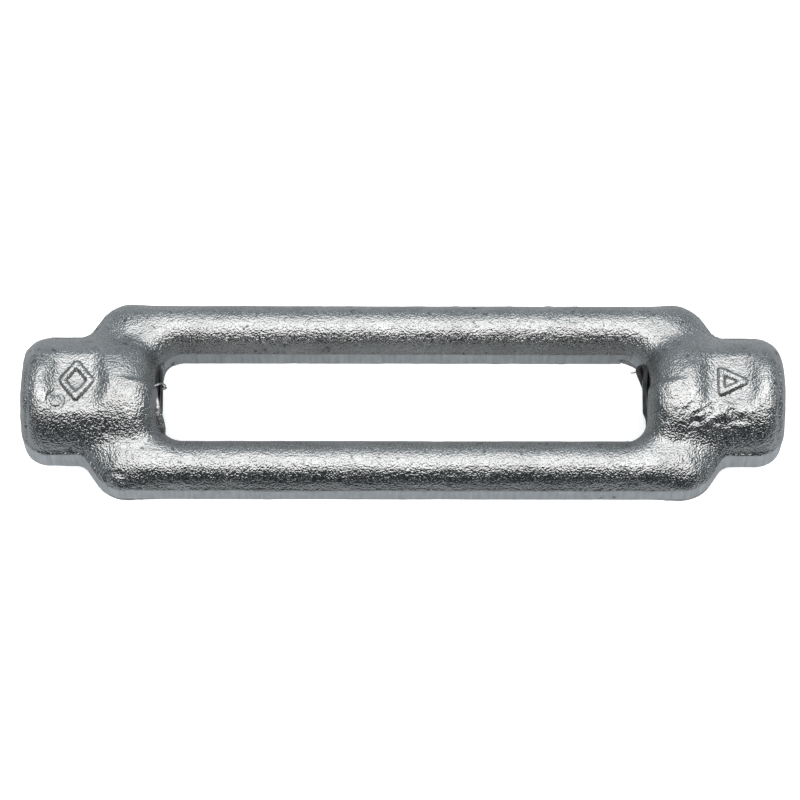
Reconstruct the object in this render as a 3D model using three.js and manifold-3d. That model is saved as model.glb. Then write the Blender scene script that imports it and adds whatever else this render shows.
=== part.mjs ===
// Open turnbuckle body for M12 rods, forged from steel in one piece and hot-dip galvanised.
//
// Two side bars join two bosses around a long open window. Each boss has a threaded through bore: right-hand
// at -X, left-hand at +X, so that turning the body draws both rods in, or lets both out, at once.
//
// Millimetres. The origin is the middle of the body, on the common axis of the two bores. +X runs along the
// bores, +Y across the two side bars, and +Z up through the window.

import * as THREE from 'three';
import { mergeVertices } from 'three/addons/utils/BufferGeometryUtils.js';
import Module from 'manifold-3d';

const wasm = await Module();
wasm.setup();

// Whole body
const LENGTH = 125;
const BAR_SPACING = 24.2; // between the centre lines of the two side bars
const BAR_WIDTH = 8.7; // across one bar, over the trimmed parting land
const BAR_HEIGHT = 12;
const BOSS_WIDTH = 21.1; // across one boss, over the parting land

// Parting land: the flat band left all round the middle where the forging's flash was trimmed off
const LAND_HEIGHT = 3.2;
const LAND_STEP = 0.2; // how far the land stands out from the forged faces
const CREST_WIDTH = 0.4; // flat along the top of a bar, where its two rounded sides meet

// Bosses
const BOSS_DIAMETER = 20.8;
const BOSS_WAIST = 0.25; // how much thinner the boss is in the middle of its length, on the radius
const BOSS_INNER_FACE = 40.0; // from the middle of the body
const OUTER_CORNER = 3.4; // radius of the round edge at the outer face
const INNER_CORNER_LENGTH = 5; // the inner edge is a longer, elliptical round
const INNER_CORNER_DEPTH = 3.9;

// Flat pads forged across the top and the underside of each boss
const PAD_HEIGHT = 9.2; // above the bore axis
const PAD_CENTRE = 52.3;
const PAD_LENGTH = 6.7;

// Window and shoulders
const WINDOW_CORNER = 2.6;
const SHOULDER_ANGLE = THREE.MathUtils.degToRad(56.5); // the shoulder's slope to the X axis
const SHOULDER_MIDDLE = 50.2; // x where the slope is half-way between bar and boss
const SHOULDER_ROUND = 5.5; // outside corner, next to the bar
const SHOULDER_FILLET = 2; // inside corner, next to the boss
const RAIL_END = 50.5; // x where the rounded rails stop, inside the bosses

// Thread: M12 x 1.75, ISO basic profile
const PITCH = 1.75;
const MAJOR_RADIUS = 6;
const MINOR_RADIUS = MAJOR_RADIUS - 0.5413 * PITCH;
const STEPS_PER_TURN = 12;
const MOUTH_RADIUS = 6.3; // of the chamfer at each end of a bore

// Raised marks that tell the two hands apart: an open lozenge is right-hand, an open triangle left-hand
const MARK_RELIEF = 0.5;
const MARK_STROKE = 1;
const LOZENGE = { length: 5.4, width: 6.2 };
const TRIANGLE = { length: 4.8, width: 4.6 };

const ARC_SEGMENTS = 5; // in each round corner of the plan
const BEVEL_SEGMENTS = 4;
const BOSS_SEGMENTS = 36;
const OVERLAP = 0.5; // how far a cutter runs past the face that it cuts

const barOuter = (BAR_SPACING + BAR_WIDTH) / 2;
const barInner = (BAR_SPACING - BAR_WIDTH) / 2;
const bossSide = BOSS_WIDTH / 2;
const endFace = LENGTH / 2;

function solidFrom(geometry) {
  geometry.deleteAttribute('normal');
  geometry.deleteAttribute('uv');
  const merged = mergeVertices(geometry, 1e-4);
  return new wasm.Manifold(new wasm.Mesh({
    numProp: 3,
    vertProperties: new Float32Array(merged.attributes.position.array),
    triVerts: new Uint32Array(merged.index.array),
  }));
}

function geometryFrom(solid) {
  const mesh = solid.getMesh();
  const geometry = new THREE.BufferGeometry();
  geometry.setAttribute('position', new THREE.BufferAttribute(mesh.vertProperties, 3));
  geometry.setIndex(new THREE.BufferAttribute(mesh.triVerts, 1));
  geometry.computeVertexNormals();
  return geometry;
}

function union(solids) {
  return solids.reduce((whole, next) => whole.add(next));
}

function arcPoints(x, y, radius, from, to) {
  const clockwise = to < from;
  return new THREE.EllipseCurve(x, y, radius, radius, from, to, clockwise).getPoints(ARC_SEGMENTS);
}

// The plan is the same in all four quarters, so an outline is one quarter, from +X round to +Y, and its mirrors.
function closedFromQuarter(quarter) {
  const upper = [...quarter, ...quarter.map((p) => new THREE.Vector2(-p.x, p.y)).reverse()];
  return [...upper, ...upper.map((p) => new THREE.Vector2(p.x, -p.y)).reverse()];
}

// The shoulder's slope, from its fillet by the boss to its round by the bar, moved inwards by inset.
function shoulderPoints(inset) {
  const slopeX = (y) => SHOULDER_MIDDLE + ((bossSide + barOuter) / 2 - y) / Math.tan(SHOULDER_ANGLE);
  const across = Math.sin(SHOULDER_ANGLE);
  const along = Math.cos(SHOULDER_ANGLE);
  const filletY = bossSide + SHOULDER_FILLET;
  const filletX = slopeX(filletY - SHOULDER_FILLET * along) + SHOULDER_FILLET * across;
  const roundY = barOuter - SHOULDER_ROUND;
  const roundX = slopeX(roundY + SHOULDER_ROUND * along) - SHOULDER_ROUND * across;
  const quarterTurn = Math.PI / 2;
  return [
    ...arcPoints(filletX, filletY, SHOULDER_FILLET + inset, -quarterTurn, -quarterTurn - SHOULDER_ANGLE),
    ...arcPoints(roundX, roundY, SHOULDER_ROUND - inset, quarterTurn - SHOULDER_ANGLE, quarterTurn),
  ];
}

function windowPoints(inset) {
  const x = BOSS_INNER_FACE - WINDOW_CORNER;
  const y = barInner - WINDOW_CORNER;
  return closedFromQuarter(arcPoints(x, y, WINDOW_CORNER + inset, 0, Math.PI / 2));
}

function shapeWithWindow(outline, inset) {
  const shape = new THREE.Shape(outline);
  shape.holes.push(new THREE.Path(windowPoints(inset)));
  return shape;
}

// The parting land follows the whole plan at one height, bosses included.
function partingLand() {
  const corner = arcPoints(endFace - OUTER_CORNER, bossSide - OUTER_CORNER, OUTER_CORNER, 0, Math.PI / 2);
  const outline = closedFromQuarter([...corner, ...shoulderPoints(0)]);
  const geometry = new THREE.ExtrudeGeometry(shapeWithWindow(outline, 0), {
    depth: LAND_HEIGHT,
    bevelEnabled: false,
  });
  geometry.translate(0, 0, -LAND_HEIGHT / 2);
  return solidFrom(geometry);
}

// The side bars and shoulders: a narrow crest line, rounded down on both sides to the parting land.
function rails() {
  const roundWidth = (BAR_WIDTH - CREST_WIDTH) / 2 - LAND_STEP;
  const inset = roundWidth + LAND_STEP;
  const end = new THREE.Vector2(RAIL_END, bossSide - inset);
  const outline = closedFromQuarter([end, ...shoulderPoints(inset)]);
  const geometry = new THREE.ExtrudeGeometry(shapeWithWindow(outline, inset), {
    depth: LAND_HEIGHT,
    bevelThickness: (BAR_HEIGHT - LAND_HEIGHT) / 2,
    bevelSize: roundWidth,
    bevelSegments: BEVEL_SEGMENTS,
  });
  geometry.translate(0, 0, -LAND_HEIGHT / 2);
  return solidFrom(geometry);
}

// A solid of revolution about the bore axis. Its profile is drawn as (radius, distance along +X).
function revolved(profile, segments) {
  const geometry = new THREE.LatheGeometry(profile, segments);
  geometry.rotateZ(-Math.PI / 2);
  return solidFrom(geometry);
}

function cornerPoints(radius, x, depth, length, from, to) {
  return new THREE.EllipseCurve(radius - depth, x, depth, length, from, to, to < from).getPoints(ARC_SEGMENTS);
}

function bossBlank() {
  const radius = BOSS_DIAMETER / 2;
  const innerCorner = BOSS_INNER_FACE + INNER_CORNER_LENGTH;
  const outerCorner = endFace - OUTER_CORNER;
  const profile = [
    new THREE.Vector2(0, BOSS_INNER_FACE),
    ...cornerPoints(radius, innerCorner, INNER_CORNER_DEPTH, INNER_CORNER_LENGTH, -Math.PI / 2, 0),
    new THREE.Vector2(radius - BOSS_WAIST, PAD_CENTRE),
    ...cornerPoints(radius, outerCorner, OUTER_CORNER, OUTER_CORNER, 0, Math.PI / 2),
    new THREE.Vector2(0, endFace),
  ];
  return revolved(profile, BOSS_SEGMENTS);
}

// What is pressed flat across the top and the underside of a boss.
function padCutters() {
  const height = BOSS_DIAMETER / 2;
  return [1, -1].map((side) => {
    const geometry = new THREE.BoxGeometry(PAD_LENGTH, BOSS_DIAMETER, height);
    geometry.translate(PAD_CENTRE, 0, side * (PAD_HEIGHT + height / 2));
    return solidFrom(geometry);
  });
}

// The middle line of a thread groove. Its frames keep the groove's section in a plane with the bore axis.
class ThreadHelix extends THREE.Curve {
  constructor(start, turns, hand) {
    super();
    Object.assign(this, { start, turns, hand });
  }

  angle(t) {
    return this.hand * t * this.turns * 2 * Math.PI;
  }

  getPoint(t) {
    const angle = this.angle(t);
    const x = this.start + t * this.turns * PITCH;
    return new THREE.Vector3(x, MINOR_RADIUS * Math.cos(angle), MINOR_RADIUS * Math.sin(angle));
  }

  computeFrenetFrames(segments) {
    const steps = Array.from({ length: segments + 1 }, (_, i) => this.angle(i / segments));
    const normals = steps.map((angle) => new THREE.Vector3(0, Math.cos(angle), Math.sin(angle)));
    const binormals = steps.map(() => new THREE.Vector3(-this.hand, 0, 0));
    const tangents = normals.map((normal, i) => normal.clone().cross(binormals[i]));
    return { tangents, normals, binormals };
  }
}

// The groove between two turns of thread: a trapezium that narrows from the bore out to the major diameter.
function threadGroove(hand) {
  const root = PITCH / 16;
  const mouth = (3 * PITCH) / 8;
  const depth = MAJOR_RADIUS - MINOR_RADIUS;
  const section = new THREE.Shape([
    new THREE.Vector2(-OVERLAP, -mouth),
    new THREE.Vector2(0, -mouth),
    new THREE.Vector2(depth, -root),
    new THREE.Vector2(depth, root),
    new THREE.Vector2(0, mouth),
    new THREE.Vector2(-OVERLAP, mouth),
  ]);
  const turns = Math.ceil((endFace - BOSS_INNER_FACE) / PITCH) + 2;
  const middle = (endFace + BOSS_INNER_FACE) / 2;
  const helix = new ThreadHelix(middle - (turns * PITCH) / 2, turns, hand);
  return solidFrom(new THREE.ExtrudeGeometry(section, { steps: turns * STEPS_PER_TURN, extrudePath: helix }));
}

// The plain hole and its two mouth chamfers, as one solid of revolution.
function coreHole() {
  const chamfer = MOUTH_RADIUS - MINOR_RADIUS;
  const profile = [
    new THREE.Vector2(0, BOSS_INNER_FACE - OVERLAP),
    new THREE.Vector2(MOUTH_RADIUS + OVERLAP, BOSS_INNER_FACE - OVERLAP),
    new THREE.Vector2(MINOR_RADIUS, BOSS_INNER_FACE + chamfer),
    new THREE.Vector2(MINOR_RADIUS, endFace - chamfer),
    new THREE.Vector2(MOUTH_RADIUS + OVERLAP, endFace + OVERLAP),
    new THREE.Vector2(0, endFace + OVERLAP),
  ];
  return revolved(profile, 2 * STEPS_PER_TURN);
}

function threadedBore(hand) {
  return coreHole().add(threadGroove(hand));
}

// An open outline, one stroke wide, standing up from a pad. Corners are listed anticlockwise.
function raisedMark(corners, x) {
  const outline = corners.map(([px, py]) => new THREE.Vector2(px, py));
  const inradius = Math.min(...outline.map((p, i) => distanceToEdge(p, outline[(i + 1) % outline.length])));
  const inner = outline.map((p) => p.clone().multiplyScalar(1 - MARK_STROKE / inradius));
  const shape = new THREE.Shape(outline);
  shape.holes.push(new THREE.Path(inner));
  const geometry = new THREE.ExtrudeGeometry(shape, { depth: MARK_RELIEF + OVERLAP, bevelEnabled: false });
  geometry.translate(x, 0, PAD_HEIGHT - OVERLAP);
  return solidFrom(geometry);
}

// How far the mark's middle is from the edge that joins two of its corners.
function distanceToEdge(a, b) {
  return Math.abs(a.cross(b)) / a.distanceTo(b);
}

function lozengeCorners() {
  const x = LOZENGE.length / 2;
  const y = LOZENGE.width / 2;
  return [[x, 0], [0, y], [-x, 0], [0, -y]];
}

function triangleCorners() {
  const x = TRIANGLE.length / 3;
  const y = TRIANGLE.width / 2;
  return [[2 * x, 0], [-x, y], [-x, -y]];
}

// Both bosses are made at +X and the right-hand one is turned half a turn about Z, which keeps its hand.
function boss(hand, corners) {
  const blank = padCutters().reduce((solid, cutter) => solid.subtract(cutter), bossBlank());
  return { blank: blank.add(raisedMark(corners, PAD_CENTRE)), bore: threadedBore(hand) };
}

function turnbuckleBody() {
  const leftHand = boss(-1, triangleCorners());
  const rightHand = boss(1, lozengeCorners());
  const turned = (solid) => solid.rotate([0, 0, 180]);
  const forging = union([partingLand(), rails(), leftHand.blank, turned(rightHand.blank)]);
  return forging.subtract(leftHand.bore).subtract(turned(rightHand.bore));
}

const galvanisedSteel = new THREE.MeshStandardMaterial({ color: 0x9ea3a6, roughness: 0.45, metalness: 0.9 });

const body = new THREE.Mesh(geometryFrom(turnbuckleBody()), galvanisedSteel);
body.name = 'turnbuckle_body';

const group = new THREE.Group();
group.add(body);

export default group;
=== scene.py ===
"""The looks of an open turnbuckle body: one hot-dip-galvanised forging with two threaded bores.

The forging is drawn as a distance field, in millimetres, from the same few dimensions as the CAD solid.
The field is meshed, the two threads are cut out of the mesh, and it then stands for the CAD node.
"""

import math

import bmesh
import bpy
import numpy as np
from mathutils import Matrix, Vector


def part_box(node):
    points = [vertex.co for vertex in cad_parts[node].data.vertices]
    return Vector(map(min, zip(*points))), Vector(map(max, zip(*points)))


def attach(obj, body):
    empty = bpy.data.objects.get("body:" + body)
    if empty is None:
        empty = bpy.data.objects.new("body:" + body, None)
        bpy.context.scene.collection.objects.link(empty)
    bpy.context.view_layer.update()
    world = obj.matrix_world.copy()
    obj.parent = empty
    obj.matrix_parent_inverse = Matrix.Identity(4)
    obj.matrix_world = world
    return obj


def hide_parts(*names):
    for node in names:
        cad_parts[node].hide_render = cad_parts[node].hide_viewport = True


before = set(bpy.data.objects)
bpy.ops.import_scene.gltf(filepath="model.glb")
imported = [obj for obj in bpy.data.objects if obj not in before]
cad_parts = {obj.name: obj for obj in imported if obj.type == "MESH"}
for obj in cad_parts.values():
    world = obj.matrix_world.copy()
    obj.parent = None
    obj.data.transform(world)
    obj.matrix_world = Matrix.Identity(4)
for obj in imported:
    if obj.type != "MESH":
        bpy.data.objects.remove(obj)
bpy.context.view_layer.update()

MM = 0.001
NODE = "turnbuckle_body"
node_low, node_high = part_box(NODE)

# Sizes in millimetres. The first three come from the frame. The thread repeats the CAD model's, and the
# rest are the same dimensions as in the CAD model, some with their last tenths refined.
END_X = node_high.x / MM
BAR_OUTER = node_high.y / MM
BOSS_RADIUS = node_high.z / MM

# The side bars, oval in section
BAR_WIDTH = 8.8
BAR_INNER = BAR_OUTER - BAR_WIDTH
BAR_HALF_HEIGHT = 6.0
BAR_FLUSH = 0.12  # how far the oval would reach past the outline that cuts it
WINDOW_CORNER = 3.8

# The shoulders, which join the bars to the bosses
SHOULDER_ANGLE = math.radians(56.5)
SHOULDER_MIDDLE = 50.2  # x half-way between bar and boss
SHOULDER_LEAN = 0.5  # the left-hand boss's near shoulder is this much further out, and its far one in
RIGHT_HAND_LEAN = 0.4  # the lean at the right-hand boss, as a share of that
SHOULDER_ROUND = 2.5
SHOULDER_FILLET = 1.0
SHOULDER_FLUSH = 0.45  # BAR_FLUSH at a shoulder
SHOULDER_SLACK = 0.4  # how much more slowly the section rises there, as a share

# The bosses
BOSS_INNER_FACE = 40.0
BOSS_SIDE = 10.45  # half the width over the land
BOSS_HALF_WIDTH = 10.4
BOSS_SWELL = 0.7  # how much half the width grows towards the inner end
BOSS_WAIST = 0.25
OUTER_CORNER = 4.0
OUTLINE_CORNER = 4.4
RIGHT_HAND_RECESS = 0.2  # how far the far half of that boss's end stands back
DOME_LONG = 7.5  # round of the inner end, along x, at the far upper and the near lower side
DOME_SHORT = 5.0  # the same at the other two sides
SOLID_FILLET = 1.0  # between bar and boss, next to the land
CREST_FILLET = 0.4  # what is added to it away from the land

# What is pressed into the bosses, and the raised marks
PAD_HEIGHT = 8.95
PAD_CENTRE = 53.1
PAD_LENGTH = 6.0
PAD_WALL_ANGLE = math.radians(30)
MARK_RELIEF = 0.7
MARK_STROKE = 1.3
MARK_DRAFT = 0.35
LOZENGE = (4.6, 5.8)  # length and width of the stroke's middle line
TRIANGLE = (3.8, 3.8)

# The parting land
LAND_HALF_HEIGHT = 1.75
LAND_RISE = 0.8  # what is added to it at the bosses
LAND_FILLET = 0.8

# The threads
PITCH = 1.75
MAJOR_RADIUS = 6.0
MINOR_RADIUS = MAJOR_RADIUS - 0.5413 * PITCH
MOUTH_RADIUS = 6.3
STEPS_PER_TURN = 48
BORES = (("right_hand_bore", -1, 1), ("left_hand_bore", 1, -1))  # name, side, hand

# Flaws of this one forging, as (centre, radius)
DENTS = (((-46.8, 8.2, 6.0), 1.0), ((56.9, -8.9, 2.9), 0.7), ((55.4, -8.7, 3.4), 0.5))
NICKS = (((32.6, -16.4, -0.9), 1.0), ((34.4, -16.4, -0.7), 0.8), ((29.8, -16.4, -0.6), 0.6))

# The body's material slots
SKIN, LAND, THREAD = range(3)


# ---------------------------------------------------------------- distance-field tools

def soft_min(a, b, k):
    """The smaller of two fields, with a fillet about k wide where they meet."""
    h = np.maximum(k - np.abs(a - b), 0.0) / k
    return np.minimum(a, b) - h * h * k / 4


def soft_max(a, b, k):
    return -soft_min(-a, -b, k)


def round_corner(a, b, radius, power=2.0):
    """The overlap of two half-spaces with their common edge rounded off; a higher power keeps it fuller."""
    over = np.maximum(a + radius, 0) ** power + np.maximum(b + radius, 0) ** power
    return np.minimum(np.maximum(a, b), -radius) + over ** (1 / power)


def round_inside(a, b, radius):
    """The union of two half-spaces, with the corner between them filled by a fillet."""
    return -round_corner(-a, -b, radius)


def smooth_step(low, high, v):
    """0 at low and 1 at high, with a smooth way between; low may be the larger."""
    t = np.clip((v - low) / (high - low), 0, 1)
    return t * t * (3 - 2 * t)


def band(v, half_width):
    """1 at v = 0, falling off smoothly to both sides."""
    return np.exp(-(v / half_width) ** 2)


def lattice(ix, iy, iz, seed):
    """A repeatable random number from -1 to 1 for each whole-number point."""
    n = ix * 374761393 + iy * 668265263 + iz * 2147483647 + seed * 974634777
    n = (n ^ (n >> 13)) & 0xFFFFFFFF
    n = (n * 1274126177) & 0xFFFFFFFF
    n = (n ^ (n >> 16)) & 0xFFFFFFFF
    return n / 2147483647.5 - 1


def noise(x, y, z, size, seed):
    """Smooth noise from -1 to 1 whose bumps are about size millimetres apart."""
    cells, shares = [], []
    for v in (x, y, z):
        whole = np.floor(v / size)
        t = v / size - whole
        cells.append(whole.astype(np.int64))
        shares.append(t * t * (3 - 2 * t))
    total = 0
    for dx in (0, 1):
        for dy in (0, 1):
            for dz in (0, 1):
                weight = (shares[0] if dx else 1 - shares[0]) * (shares[1] if dy else 1 - shares[1])
                weight = weight * (shares[2] if dz else 1 - shares[2])
                total = total + weight * lattice(cells[0] + dx, cells[1] + dy, cells[2] + dz, seed)
    return total


# ---------------------------------------------------------------- the forging

def bars_distance(x, y):
    """Distance in plan to the side bars with their shoulders, negative in metal."""
    middle_x = SHOULDER_MIDDLE - SHOULDER_LEAN * np.sign(y) * np.where(x > 0, 1, RIGHT_HAND_LEAN)
    x, y = np.abs(x), np.abs(y)
    middle_y = (BOSS_SIDE + BAR_OUTER) / 2
    slope = (x - middle_x) * math.sin(SHOULDER_ANGLE) + (y - middle_y) * math.cos(SHOULDER_ANGLE)
    return round_corner(slope, y - BAR_OUTER, SHOULDER_ROUND)


def window_distance(x, y):
    return round_corner(np.abs(x) - BOSS_INNER_FACE, np.abs(y) - BAR_INNER, WINDOW_CORNER)


def plan_distance(x, y):
    """Distance to the outline seen from above, negative in metal. The parting land follows it."""
    recess = RIGHT_HAND_RECESS * (x < 0) * smooth_step(-3, 2, y)
    bosses = round_corner(np.abs(x) + recess - END_X, np.abs(y) - BOSS_SIDE, OUTLINE_CORNER)
    outside = round_inside(bars_distance(x, y), bosses, SHOULDER_FILLET)
    return np.maximum(outside, -window_distance(x, y))


def rail_field(x, y, z):
    """The side bars, oval in section. Their sides slope more gently at the shoulders."""
    half = BAR_WIDTH / 2
    inset = -np.maximum(bars_distance(x, y), -window_distance(x, y))
    gentle = 1 - SHOULDER_SLACK * smooth_step(BOSS_INNER_FACE, BOSS_INNER_FACE + 8, np.abs(x))
    from_crest = np.maximum(half - inset * gentle, 0)
    at_shoulder = smooth_step(BOSS_INNER_FACE, BOSS_INNER_FACE + 6, np.abs(x))
    flush = BAR_FLUSH + (SHOULDER_FLUSH - BAR_FLUSH) * at_shoulder
    oval = np.sqrt((from_crest / (half + flush)) ** 2 + (z / BAR_HALF_HEIGHT) ** 2 + 1e-9)
    return (oval - 1) * half


def boss_field(x, y, z):
    """Both bosses: slightly waisted round bars, domed at the inner end, a little askew."""
    along = np.abs(x)
    waist = BOSS_WAIST * np.cos(np.clip((along - PAD_CENTRE) / 7, -1, 1) * math.pi / 2) ** 2
    waist = waist * smooth_step(2, 7, np.abs(z))
    dome = DOME_SHORT + (DOME_LONG - DOME_SHORT) * smooth_step(-6, 6, y * z)
    half_width = BOSS_HALF_WIDTH + BOSS_SWELL * smooth_step(48, 42, along)
    side = np.hypot(y * BOSS_RADIUS / half_width, z) - BOSS_RADIUS + waist
    outer_half = round_corner(along - END_X, side, OUTER_CORNER)
    inner_half = round_corner(BOSS_INNER_FACE - along, side, dome, 2.2)
    return np.maximum(outer_half, inner_half)


def pad_field(x, y, z):
    """Negative in what is pressed flat across the top and the underside of each boss."""
    past_end = np.abs(np.abs(x) - PAD_CENTRE) - PAD_LENGTH / 2
    above = np.abs(z) - PAD_HEIGHT
    end_wall = past_end * math.sin(PAD_WALL_ANGLE) - above * math.cos(PAD_WALL_ANGLE)
    return soft_max(end_wall, -above, 0.6)


def outline_distance(x, y, corners):
    """Distance to a closed outline of straight sides, without sign."""
    found = np.full(np.shape(x), 1e9)
    for (ax, ay), (bx, by) in zip(corners, corners[1:] + corners[:1]):
        ex, ey = bx - ax, by - ay
        t = np.clip(((x - ax) * ex + (y - ay) * ey) / (ex * ex + ey * ey), 0, 1)
        found = np.minimum(found, np.hypot(x - ax - t * ex, y - ay - t * ey))
    return found


def mark_field(x, y, z):
    """The raised marks: an open lozenge on the right-hand boss, an open triangle on the left-hand one."""
    half_x = LOZENGE[0] / 2
    half_y = LOZENGE[1] / 2
    lozenge = [(half_x, 0), (0, half_y), (-half_x, 0), (0, -half_y)]
    third = TRIANGLE[0] / 3
    half_side = TRIANGLE[1] / 2
    triangle = [(2 * third, 0), (-third, half_side), (-third, -half_side)]
    at_right_hand = outline_distance(x + PAD_CENTRE, y, lozenge)
    at_left_hand = outline_distance(x - PAD_CENTRE, y, triangle)
    rise = z - PAD_HEIGHT
    stroke = np.minimum(at_right_hand, at_left_hand) - MARK_STROKE / 2 + MARK_DRAFT * rise
    return soft_max(soft_max(stroke, rise - MARK_RELIEF, 0.3), -rise - 1, 0.1)


def forging_field(x, y, z):
    """The whole forging without its bores and its skin, negative in metal."""
    plan = plan_distance(x, y)
    fillet = SOLID_FILLET + CREST_FILLET * smooth_step(1.0, 5.0, np.abs(z))
    solid = soft_min(rail_field(x, y, z), boss_field(x, y, z), fillet)
    solid = soft_max(solid, -pad_field(x, y, z), 0.4)
    solid = soft_min(solid, mark_field(x, y, z), 0.15)
    land = np.maximum(plan, np.abs(z) - land_edge_height(x, y))
    return np.maximum(soft_min(solid, land, LAND_FILLET), plan)


def land_edge_height(x, y):
    """Half the height of the parting land: taller round the bosses, and wandering a little."""
    at_boss = smooth_step(BOSS_INNER_FACE + 3, BOSS_INNER_FACE + 9, np.abs(x))
    at_boss = at_boss * smooth_step(BAR_OUTER - 0.5, BAR_OUTER - 4, np.abs(y))
    wander = 0.14 * noise(x, y, 0 * x, 7.0, 11) + 0.07 * noise(x, y, 0 * x, 2.3, 12)
    return LAND_HALF_HEIGHT + LAND_RISE * at_boss + wander


def skin_relief(x, y, z):
    """How far the zinc stands proud of the plain forging: undulation, lumps, pits and the land's groove."""
    above_land = np.abs(z) - land_edge_height(x, y)
    broad = 0.05 * noise(x, y, z, 6.0, 1) + 0.035 * noise(x, y, z, 2.6, 2)
    fine = 0.02 * noise(x, y, z, 1.2, 3)
    lumps = 0.12 * smooth_step(0.45, 0.95, noise(x, y, z, 2.2, 4))
    pits = 0.10 * smooth_step(0.55, 0.95, noise(x, y, z, 1.6, 5))
    skin = (broad + fine + lumps - pits) * smooth_step(0.0, 0.8, above_land)
    trimmed = 0.05 * noise(x, y, z, 5.0, 21) + 0.02 * noise(x, y, z, 1.5, 22)
    trimmed = trimmed * smooth_step(0.3, 0.0, above_land)
    depth = 0.10 - 0.06 * smooth_step(BAR_OUTER - 2, BAR_OUTER - 5, np.abs(y))
    groove = depth * band(above_land - 0.15, 0.16)
    return skin + trimmed - groove + blemishes(x, y, z)


def spot(x, y, z, centre, radius):
    """1 at the middle of a round spot, fading to 0 at its edge."""
    away = np.sqrt((x - centre[0]) ** 2 + (y - centre[1]) ** 2 + (z - centre[2]) ** 2)
    return smooth_step(radius, 0.4 * radius, away)


def blemishes(x, y, z):
    """This forging's own flaws, in millimetres of relief."""
    on_top = smooth_step(5, 7, z)
    ring = band(np.hypot(x + 56.4, y + 3.5) - 1.2, 0.25) * on_top
    lap = band(y - 4.7, 0.22) * smooth_step(-56.5, -57.5, x) * on_top
    rim = band(np.abs(x) - 61.3, 0.3) * smooth_step(2, 4, z) * (y < 6)
    rim = rim * (0.7 + 0.6 * noise(x, y, z, 1.7, 33))
    scab_away = np.sqrt((x + 46.6) ** 2 + (y + 15.5) ** 2 + (z - 3.4) ** 2)
    scab_outline = band(scab_away - 1.7, 0.35)
    dents = sum(spot(x, y, z, centre, radius) for centre, radius in DENTS)
    nicks = sum(spot(x, y, z, centre, radius) for centre, radius in NICKS)
    wrinkled = smooth_step(44.5, 47, x) * smooth_step(57, 54, x) * smooth_step(5, 6.5, z)
    wrinkled = wrinkled * smooth_step(-3.0, -4.2, y) * smooth_step(-8.0, -6.5, y)
    wrinkles = wrinkled * noise(0.7 * x + 0.5 * y, 1.2 * y - 0.3 * x, z - 0.4 * x, 1.0, 31)
    lumpy = smooth_step(17, 21, x) * smooth_step(35, 31, x) * smooth_step(9, 10, y) * smooth_step(2, 3, z)
    lumps = lumpy * noise(x, 1.5 * y, z, 1.3, 32)
    raised = 0.1 * lap + 0.34 * wrinkles + 0.07 * lumps
    return raised - 0.3 * ring - 0.22 * scab_outline - 0.3 * rim - 0.35 * dents - 0.35 * nicks


# ---------------------------------------------------------------- from field to mesh

def grid_line(*stretches):
    """Grid planes along one axis, from (end, step) stretches that start at zero, mirrored about zero."""
    planes, start = [0.0], 0.0
    for end, step in stretches:
        count = max(1, round((end - start) / step))
        planes.extend(start + (end - start) * (i + 1) / count for i in range(count))
        start = end
    side = np.array(planes)
    return np.concatenate([-side[:0:-1], side])


def surface_net(lines, field):
    """A closed quad mesh of field = 0: one vertex in each grid cell that the surface crosses."""
    values = field(*np.meshgrid(*lines, indexing="ij"))
    inside = values < 0
    cells = tuple(n - 1 for n in values.shape)
    total = np.zeros(cells + (3,))
    count = np.zeros(cells)
    edges = []
    for axis in range(3):
        low = tuple(slice(None, -1) if a == axis else slice(None) for a in range(3))
        high = tuple(slice(1, None) if a == axis else slice(None) for a in range(3))
        crossed = np.argwhere(inside[low] != inside[high])
        before = values[low][tuple(crossed.T)]
        after = values[high][tuple(crossed.T)]
        share = before / (before - after)
        point = np.stack([lines[a][crossed[:, a]] for a in range(3)], axis=1)
        point[:, axis] += share * (lines[axis][crossed[:, axis] + 1] - lines[axis][crossed[:, axis]])
        u, v = [a for a in range(3) if a != axis]
        around = []
        for du, dv in ((0, 0), (1, 0), (1, 1), (0, 1)):
            cell = crossed.copy()
            cell[:, u] -= du
            cell[:, v] -= dv
            np.add.at(total, tuple(cell.T), point)
            np.add.at(count, tuple(cell.T), 1)
            around.append(np.ravel_multi_index(tuple(cell.T), cells))
        flipped = (before > 0) == (axis != 1)
        quad = np.stack(around, axis=1)
        edges.append(np.where(flipped[:, None], quad, quad[:, ::-1]))
    used = np.flatnonzero(count.ravel())
    number = np.full(count.size, -1)
    number[used] = np.arange(len(used))
    points = total.reshape(-1, 3)[used] / count.ravel()[used][:, None]
    return points, number[np.concatenate(edges)]


def gradient(field, points, here, step=0.01):
    """The field's slope at each point, where its value is here."""
    slope = np.empty_like(points)
    for axis in range(3):
        shift = np.zeros(3)
        shift[axis] = step
        slope[:, axis] = (field(*(points + shift).T) - here) / step
    return slope


def unit(vectors):
    return vectors / np.maximum(np.linalg.norm(vectors, axis=1), 1e-9)[:, None]


def settle(points, quads, field, rounds=3):
    """Moves every vertex onto the surface and evens the mesh out along it."""
    for _ in range(rounds):
        for _ in range(2):
            here = field(*points.T)
            slope = gradient(field, points, here)
            size = np.maximum((slope ** 2).sum(1), 0.05)
            move = -slope * (here / size)[:, None]
            length = np.maximum(np.linalg.norm(move, axis=1), 1e-9)
            points = points + move * np.minimum(1, 0.2 / length)[:, None]
        way = to_neighbours(points, quads)
        normal = unit(slope)
        points = points + 0.5 * (way - normal * (way * normal).sum(1)[:, None])
    return points, normal


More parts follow.
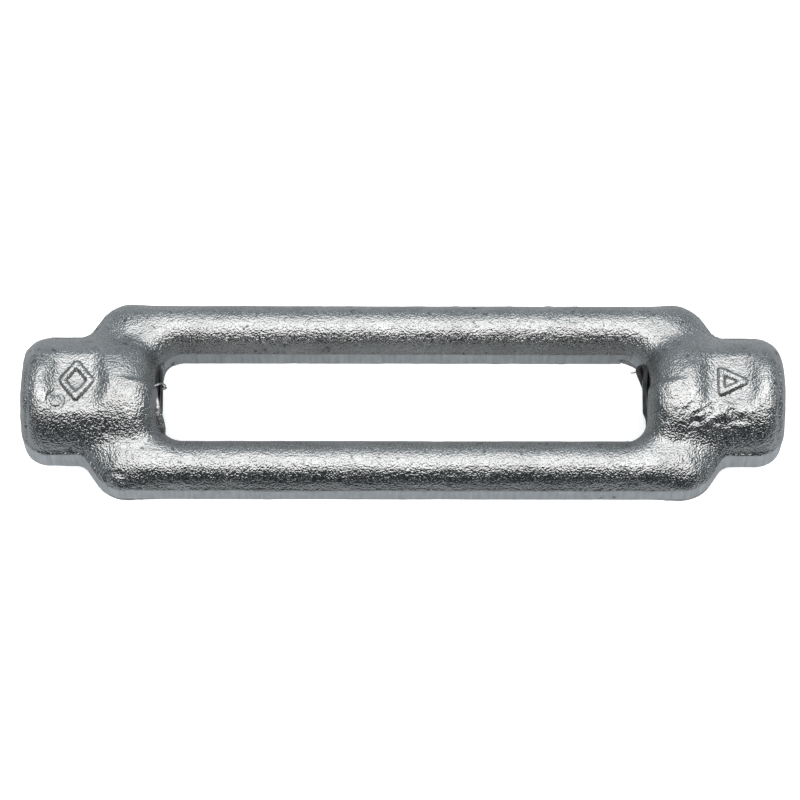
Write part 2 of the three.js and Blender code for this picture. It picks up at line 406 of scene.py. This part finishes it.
def to_neighbours(points, quads):
    """Each vertex's way to the middle of the vertices it shares an edge with."""
    total = np.zeros_like(points)
    count = np.zeros(len(points))
    for corner in range(4):
        for other in (quads[:, corner - 1], quads[:, (corner + 1) % 4]):
            for axis in range(3):
                total[:, axis] += np.bincount(quads[:, corner], points[other, axis], len(points))
            count += np.bincount(quads[:, corner], minlength=len(points))
    return total / count[:, None] - points


def new_object(name, points, faces):
    """A mesh object from points in millimetres."""
    mesh = bpy.data.meshes.new(name)
    mesh.from_pydata((np.asarray(points) * MM).tolist(), [], [list(f) for f in faces])
    mesh.validate()
    mesh.update()
    made = bpy.data.objects.new(name, mesh)
    bpy.context.scene.collection.objects.link(made)
    return made


# ---------------------------------------------------------------- threaded bores

def thread_profile():
    """One pitch of the thread as (distance along the axis, radius): crest, flank, root, flank."""
    crest = PITCH / 4
    flank = PITCH * 5 / 16
    root = PITCH / 8
    stops = [0, crest, crest + flank, crest + flank + root]
    radii = [MINOR_RADIUS, MINOR_RADIUS, MAJOR_RADIUS, MAJOR_RADIUS]
    fine = [(0, MINOR_RADIUS)]
    for i in range(4):
        end = stops[i + 1] if i < 3 else PITCH
        radius = radii[i + 1] if i < 3 else MINOR_RADIUS
        parts = (1, 3, 1, 3)[i]
        fine.extend(
            (stops[i] + (end - stops[i]) * k / parts, radii[i] + (radius - radii[i]) * k / parts)
            for k in range(1, parts + 1)
        )
    return fine[:-1]


def mouth_radius(x):
    """Radius of the two mouth chamfers, which the bore is never narrower than."""
    outer = MOUTH_RADIUS - (END_X - np.abs(x))
    inner = MOUTH_RADIUS - (np.abs(x) - BOSS_INNER_FACE)
    return np.maximum(outer, inner)


def bore_cutter(name, side, hand):
    """A threaded plug: one profile swept round and along, each turn sharing its edge with the next."""
    profile = thread_profile()
    turns = math.ceil((END_X - BOSS_INNER_FACE) / PITCH) + 2
    start = side * (END_X + BOSS_INNER_FACE) / 2 - turns * PITCH / 2
    columns = len(profile)
    steps = turns * STEPS_PER_TURN
    points = []
    for i in range(steps + STEPS_PER_TURN + 1):
        angle = hand * 2 * math.pi * i / STEPS_PER_TURN
        for along, radius in profile:
            x = start + along + PITCH * (i / STEPS_PER_TURN - 1)
            wide = max(radius, float(mouth_radius(x)))
            points.append((x, wide * math.cos(angle), wide * math.sin(angle)))

    def vertex(i, k):
        """The last column of one turn is the first column of the next."""
        return i * columns + k if k < columns else (i + STEPS_PER_TURN) * columns

    faces = []
    for i in range(steps):
        for k in range(columns):
            faces.append((vertex(i, k), vertex(i, k + 1), vertex(i + 1, k + 1), vertex(i + 1, k)))
    used = sorted({v for f in faces for v in f})
    number = {v: n for n, v in enumerate(used)}
    points = [points[v] for v in used]
    faces = [tuple(number[v] for v in f) for f in faces]
    near = len(points)
    points.append((start - 2 * PITCH, 0, 0))
    points.append((start + (turns + 1) * PITCH, 0, 0))
    for a, b in open_edges(faces):
        middle = (points[a][0] + points[b][0]) / 2
        hub = near if middle < side * (END_X + BOSS_INNER_FACE) / 2 else near + 1
        faces.append((b, a, hub))
    return new_object(name, points, faces)


def open_edges(faces):
    """The directed edges that only one face has."""
    seen = set()
    for face in faces:
        seen.update(zip(face, face[1:] + face[:1]))
    return [(a, b) for a, b in seen if (b, a) not in seen]


def cut_bores(blank):
    """Cuts both threads out of the blank and removes the cutters."""
    for name, side, hand in BORES:
        cutter = bore_cutter(name, side, hand)
        outward(cutter)
        cut = blank.modifiers.new(name, "BOOLEAN")
        cut.operation = "DIFFERENCE"
        cut.solver = "MANIFOLD"
        cut.object = cutter
    depsgraph = bpy.context.evaluated_depsgraph_get()
    mesh = bpy.data.meshes.new_from_object(blank.evaluated_get(depsgraph))
    mesh.materials.clear()
    blank.modifiers.clear()
    blank.data = mesh
    for name, side, hand in BORES:
        bpy.data.objects.remove(bpy.data.objects[name])
    return blank


def outward(made):
    """Turns all faces outwards if the closed mesh is inside out."""
    work = bmesh.new()
    work.from_mesh(made.data)
    if work.calc_volume(signed=True) < 0:
        bmesh.ops.reverse_faces(work, faces=work.faces[:])
    work.to_mesh(made.data)
    work.free()


def make_body():
    """The forging's mesh. The grid is finer at the pads and marks, and at the land's edges."""
    lines = (
        grid_line((38, 0.56), (49, 0.41), (58, 0.25), (END_X + 0.8, 0.42)),
        grid_line((5.2, 0.27), (BAR_OUTER + 0.8, 0.4)),
        grid_line((1.3, 0.4), (2.2, 0.11), (8.8, 0.42), (9.9, 0.2), (BOSS_RADIUS + 0.8, 0.4)),
    )
    points, quads = surface_net(lines, forging_field)
    points, normals = settle(points, quads, forging_field)
    points = points + normals * skin_relief(*points.T)[:, None]
    body = new_object("turnbuckle_forging", points, quads)
    outward(body)
    return cut_bores(body)


# ---------------------------------------------------------------- burrs left by the taps

def swept(name, path, half_across, half_along, sides=8):
    """A closed bead along a path: oval rings, half_along wide in x, shrinking to a point at both ends."""
    points = [path[0]]
    for i in range(1, len(path) - 1):
        fade = math.sin(math.pi * i / (len(path) - 1)) ** 0.5
        ahead = Vector(path[i + 1]) - Vector(path[i - 1])
        along_x = Vector((1, 0, 0)) - ahead * (ahead.x / ahead.length_squared)
        along_x.normalize()
        across = ahead.normalized().cross(along_x)
        for k in range(sides):
            turn = 2 * math.pi * k / sides
            reach = along_x * (half_along * math.cos(turn)) + across * (half_across * math.sin(turn))
            points.append(tuple(Vector(path[i]) + reach * fade))
    points.append(path[-1])
    rings = len(path) - 2
    faces = []
    for k in range(sides):
        after = (k + 1) % sides
        faces.append((0, 1 + after, 1 + k))
        for i in range(rings - 1):
            a, b = 1 + i * sides, 1 + (i + 1) * sides
            faces.append((a + k, a + after, b + after, b + k))
        last = 1 + (rings - 1) * sides
        faces.append((last + k, last + after, len(points) - 1))
    bead = new_object(name, points, faces)
    outward(bead)
    return bead


def mouth_lip(name, side, first, last, reach, half_across):
    """Metal rolled out round part of a bore's inner mouth. Angles are in degrees, from +Y up to +Z."""
    path = []
    steps = 16
    for i in range(steps + 1):
        share = i / steps
        angle = math.radians(first + (last - first) * share)
        radius = MOUTH_RADIUS + 0.15 + 0.1 * math.sin(9 * share)
        x = side * (BOSS_INNER_FACE + 0.25 - reach * math.sin(math.pi * share * share))
        path.append((x, radius * math.cos(angle), radius * math.sin(angle)))
    return swept(name, path, half_across, 0.7)


def make_burrs():
    """Two rolled lips, one in each inner mouth, with a curl and a whisker beside them."""
    curl = [
        (-41.0, 0.1, 6.0),
        (-40.4, 0.5, 6.1),
        (-39.7, 0.8, 5.9),
        (-39.1, 0.6, 5.6),
        (-38.9, 0.1, 5.7),
        (-39.2, -0.2, 6.0),
        (-39.7, -0.3, 6.2),
    ]
    whisker = [
        (39.9, 5.9, -2.0),
        (39.3, 6.0, -1.9),
        (38.7, 6.1, -1.7),
        (38.1, 6.0, -1.8),
        (37.6, 6.2, -1.6),
    ]
    return [
        mouth_lip("right_hand_lip", -1, 100, 185, 0.8, 0.4),
        mouth_lip("left_hand_lip", 1, -50, 8, 0.9, 0.16),
        swept("tap_curl", curl, 0.26, 0.34),
        swept("tap_whisker", whisker, 0.1, 0.16),
    ]


# ---------------------------------------------------------------- materials

def node(tree, kind, **inputs):
    """A new node with some inputs set; an underscore in a keyword stands for a space."""
    made = tree.nodes.new(kind)
    for key, value in inputs.items():
        made.inputs[key.replace("_", " ")].default_value = value
    return made


def metal(name):
    """A new metal: the material, its node tree, its shader and the object coordinates."""
    material = bpy.data.materials.new(name)
    material.use_nodes = True
    tree = material.node_tree
    shader = tree.nodes["Principled BSDF"]
    shader.inputs["Metallic"].default_value = 1.0
    place = tree.nodes.new("ShaderNodeTexCoord")
    return material, tree, shader, place.outputs["Object"]


def pattern(tree, place, scale, detail, roughness=0.5):
    """Noise from 0 to 1 over the object, with about scale bumps to the metre."""
    made = node(tree, "ShaderNodeTexNoise", Scale=scale, Detail=detail, Roughness=roughness)
    tree.links.new(place, made.inputs["Vector"])
    return made.outputs["Fac"]


def greys(tree, value, low, dark, high, light):
    """Colours from dark, where the value is low, to light, where it is high."""
    made = tree.nodes.new("ShaderNodeValToRGB")
    first, last = made.color_ramp.elements
    first.position = low
    first.color = (*dark, 1)
    last.position = high
    last.color = (*light, 1)
    tree.links.new(value, made.inputs["Fac"])
    return made.outputs["Color"]


def rescaled(tree, value, low, high, new_low=0.0, new_high=1.0):
    """The value, taken from the range low to high into the new range and held at its ends."""
    made = node(tree, "ShaderNodeMapRange", From_Min=low, From_Max=high, To_Min=new_low, To_Max=new_high)
    tree.links.new(value, made.inputs["Value"])
    return made.outputs["Result"]


def bumped(tree, height, distance):
    """A bump node, distance metres high."""
    made = node(tree, "ShaderNodeBump", Strength=1.0, Distance=distance)
    tree.links.new(height, made.inputs["Height"])
    return made


def zinc_material():
    """Hot-dip zinc on a forged skin: grey metal with a fine orange-peel grain and a few dark pinholes."""
    material, tree, shader, place = metal("galvanised_zinc")
    patches = pattern(tree, place, 170.0, 4.0, 0.6)
    grey = greys(tree, patches, 0.3, (0.445, 0.44, 0.43), 0.7, (0.59, 0.583, 0.573))
    pinholes = rescaled(tree, pattern(tree, place, 800.0, 1.0), 0.67, 0.76)
    specked = node(tree, "ShaderNodeMix")
    specked.data_type = "RGBA"
    specked.inputs["B"].default_value = (0.25, 0.255, 0.26, 1)
    tree.links.new(pinholes, specked.inputs["Factor"])
    tree.links.new(grey, specked.inputs["A"])
    tree.links.new(specked.outputs["Result"], shader.inputs["Base Color"])

    dull = rescaled(tree, pattern(tree, place, 600.0, 3.0), 0.3, 0.7, 0.16, 0.27)
    tree.links.new(dull, shader.inputs["Roughness"])

    dimples = bumped(tree, pattern(tree, place, 1300.0, 2.0), 0.00012)
    grain = bumped(tree, pattern(tree, place, 3200.0, 1.0), 0.00017)
    tree.links.new(dimples.outputs["Normal"], grain.inputs["Normal"])
    tree.links.new(grain.outputs["Normal"], shader.inputs["Normal"])
    return material


def land_material():
    """The trimmed land: zinc over a sheared surface, smoother, with faint upright streaks."""
    material, tree, shader, place = metal("trimmed_land")
    squeeze = node(tree, "ShaderNodeMapping", Scale=(1, 1, 0.12))
    tree.links.new(place, squeeze.inputs["Vector"])
    streaks = pattern(tree, squeeze.outputs["Vector"], 1400.0, 3.0)
    grey = greys(tree, streaks, 0.3, (0.61, 0.63, 0.64), 0.7, (0.81, 0.82, 0.825))
    tree.links.new(grey, shader.inputs["Base Color"])
    tree.links.new(bumped(tree, streaks, 0.00007).outputs["Normal"], shader.inputs["Normal"])
    dull = rescaled(tree, pattern(tree, place, 500.0, 2.0), 0.3, 0.7, 0.36, 0.5)
    tree.links.new(dull, shader.inputs["Roughness"])
    return material


def thread_material():
    """Tapped steel without zinc, in patches; its dark base colour is painted shade of the bores."""
    material, tree, shader, place = metal("tapped_thread")
    patchy_shade = pattern(tree, place, 350.0, 4.0)
    # These dark greys are painted shade: they make the bores and their mouths look shaded.
    grey = greys(tree, patchy_shade, 0.35, (0.10, 0.10, 0.105), 0.65, (0.20, 0.20, 0.20))
    tree.links.new(grey, shader.inputs["Base Color"])
    tree.links.new(rescaled(tree, patchy_shade, 0.3, 0.7, 0.25, 0.42), shader.inputs["Roughness"])
    return material


def paint(body):
    """Tells skin, land and thread apart by where each face lies."""
    for make_material in (zinc_material, land_material, thread_material):
        body.data.materials.append(make_material())
    mesh = body.data
    centres = np.empty(len(mesh.polygons) * 3)
    normals = np.empty(len(mesh.polygons) * 3)
    mesh.polygons.foreach_get("center", centres)
    mesh.polygons.foreach_get("normal", normals)
    x, y, z = centres.reshape(-1, 3).T / MM
    upright = np.abs(normals.reshape(-1, 3)[:, 2]) < 0.5
    on_land = upright & (np.abs(z) < land_edge_height(x, y) + 0.2)
    # Faces in the bores and their mouths take the thread's dark colour, which paints their shade.
    in_bore = (np.hypot(y, z) < MOUTH_RADIUS - 0.02) & (np.abs(x) > BOSS_INNER_FACE - 0.3)
    index = np.where(in_bore, THREAD, np.where(on_land, LAND, SKIN)).astype(np.int32)
    mesh.polygons.foreach_set("material_index", index)
    mesh.polygons.foreach_set("use_smooth", np.ones(len(index), bool))
    mesh.update()


# ---------------------------------------------------------------- stage, light and camera

# Floor and sky in millimetres
FLOOR_HALF_SIDE = 3000
SKY_RADIUS = 1400
SKY_FOOT = -50
SKY_TOP = 3000
SKIN_ALLOWANCE = 0.12  # how far the skin's lumps reach below the CAD solid
SHEET_LIFT = 0.05

# Lights in metres
SOFTBOX_HEIGHT = 0.6
SOFTBOX_HALF_LENGTH = 0.54

PALE = (0.95, 0.95, 0.95)
MID_GREY = (0.195, 0.205, 0.213)


def plain_material(name, colour, glow):
    """Matt and without gloss, with a glow of its own colour."""
    material = bpy.data.materials.new(name)
    material.use_nodes = True
    shader = material.node_tree.nodes["Principled BSDF"]
    shader.inputs["Base Color"].default_value = (*colour, 1)
    shader.inputs["Roughness"].default_value = 0.9
    shader.inputs["Specular IOR Level"].default_value = 0.0
    shader.inputs["Emission Color"].default_value = (*colour, 1)
    shader.inputs["Emission Strength"].default_value = glow
    return material


def stage_piece(name, points, faces, material):
    piece = new_object(name, points, faces)
    piece.data.materials.append(material)
    return piece


def floor_sheet(name, corners, lift, material):
    """A level sheet, lift millimetres above the floor. The floor is level with the skin's lowest lumps."""
    floor_z = node_low.z / MM - SKIN_ALLOWANCE + lift
    return stage_piece(name, [(x, y, floor_z) for x, y in corners], [range(len(corners))], material)


def sky_wall(material, sides=64):
    """An upright round wall that hides the floor's far end, open at the top."""
    turns = [2 * math.pi * i / sides for i in range(sides)]
    ring = [(SKY_RADIUS * math.cos(turn), SKY_RADIUS * math.sin(turn)) for turn in turns]
    points = [(x, y, z) for z in (SKY_FOOT, SKY_TOP) for x, y in ring]
    faces = []
    for i in range(sides):
        after = (i + 1) % sides
        faces.append((i, after, sides + after, sides + i))
    return stage_piece("sky", points, faces, material)


def make_stage():
    """A pale floor under a pale sky. Reflections see neither, only a mid-grey sheet round the part."""
    far = FLOOR_HALF_SIDE
    square = [(-far, -far), (far, -far), (far, far), (-far, far)]
    floor = floor_sheet("floor", square, 0, plain_material("pale_floor", PALE, 0.4))
    floor.visible_glossy = False
    near_side = [(-500, -60), (-46, -60), (-40, -45), (40, -45), (46, -60), (500, -60)]
    outline = near_side + [(500, 500), (-500, 500)]
    grey = plain_material("grey_floor", MID_GREY, 0.6)
    sheet_in_metal = floor_sheet("sheet_in_metal", outline, SHEET_LIFT, grey)
    sheet_in_metal.visible_camera = False
    sheet_in_metal.visible_diffuse = False
    sheet_in_metal.visible_shadow = False
    sky = sky_wall(plain_material("pale_sky", PALE, 1.0))
    sky.visible_glossy = False
    sky.visible_diffuse = False
    sky.visible_shadow = False


def make_light(name, near_y, far_y, half_x, radiance):
    """A level softbox above the part, from near_y to far_y and of even brightness. Sizes are in metres."""
    width = 2 * half_x
    depth = far_y - near_y
    data = bpy.data.lights.new(name, "AREA")
    data.shape = "RECTANGLE"
    data.size = width
    data.size_y = depth
    data.energy = radiance * math.pi * width * depth
    lamp = bpy.data.objects.new(name, data)
    lamp.location = (0, (near_y + far_y) / 2, SOFTBOX_HEIGHT)
    bpy.context.scene.collection.objects.link(lamp)
    return lamp


def make_lights():
    """Two softboxes, one behind the other, a fill for the floor and a dark world, lighter at the back."""
    make_light("main_softbox", -0.44, 0.21, SOFTBOX_HALF_LENGTH, 1.8)
    make_light("rear_softbox", 0.21, 0.71, SOFTBOX_HALF_LENGTH, 0.92)
    fill = make_light("floor_fill", -1.5, 1.5, 1.5, 2.4)
    fill.visible_glossy = False
    world = bpy.data.worlds.new("studio")
    world.use_nodes = True
    tree = world.node_tree
    way = tree.nodes.new("ShaderNodeTexCoord")
    parts = tree.nodes.new("ShaderNodeSeparateXYZ")
    glow = node(tree, "ShaderNodeMapRange", From_Min=-1.0, From_Max=1.0, To_Min=0.035, To_Max=0.33)
    tree.links.new(way.outputs["Generated"], parts.inputs["Vector"])
    tree.links.new(parts.outputs["Y"], glow.inputs["Value"])
    tree.links.new(glow.outputs["Result"], tree.nodes["Background"].inputs["Strength"])
    tree.nodes["Background"].inputs["Color"].default_value = (0.80, 0.97, 1.08, 1)
    bpy.context.scene.world = world


def make_camera():
    """Looks down on the window from 22 degrees off the vertical, square to the length."""
    elevation = math.radians(68)
    distance = 0.55
    width_in_view = 0.1322
    aim = Vector((-0.00046, 0.00037, 0))
    data = bpy.data.cameras.new("camera")
    data.sensor_width = 36
    data.lens = 36 * distance / width_in_view
    data.clip_start = 0.01
    camera = bpy.data.objects.new("camera", data)
    back = Vector((0, -math.cos(elevation), math.sin(elevation)))
    camera.location = aim + back * distance
    camera.rotation_euler = (-back).to_track_quat("-Z", "Y").to_euler()
    camera.rotation_euler.rotate_axis("Z", math.radians(0.1))
    bpy.context.scene.collection.objects.link(camera)
    bpy.context.scene.camera = camera


make_camera()
make_stage()
make_lights()
body = make_body()
paint(body)
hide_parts(NODE)
burrs = make_burrs()
for burr in burrs:
    # The left-hand lip takes the thread's dark colour, painted shade of that bore's mouth.
    look = THREAD if burr.name == "left_hand_lip" else SKIN
    burr.data.materials.append(body.data.materials[look])
    burr.data.polygons.foreach_set("use_smooth", [True] * len(burr.data.polygons))
for piece in [body] + burrs:
    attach(piece, "root")

bpy.context.scene.view_settings.view_transform = "Standard"
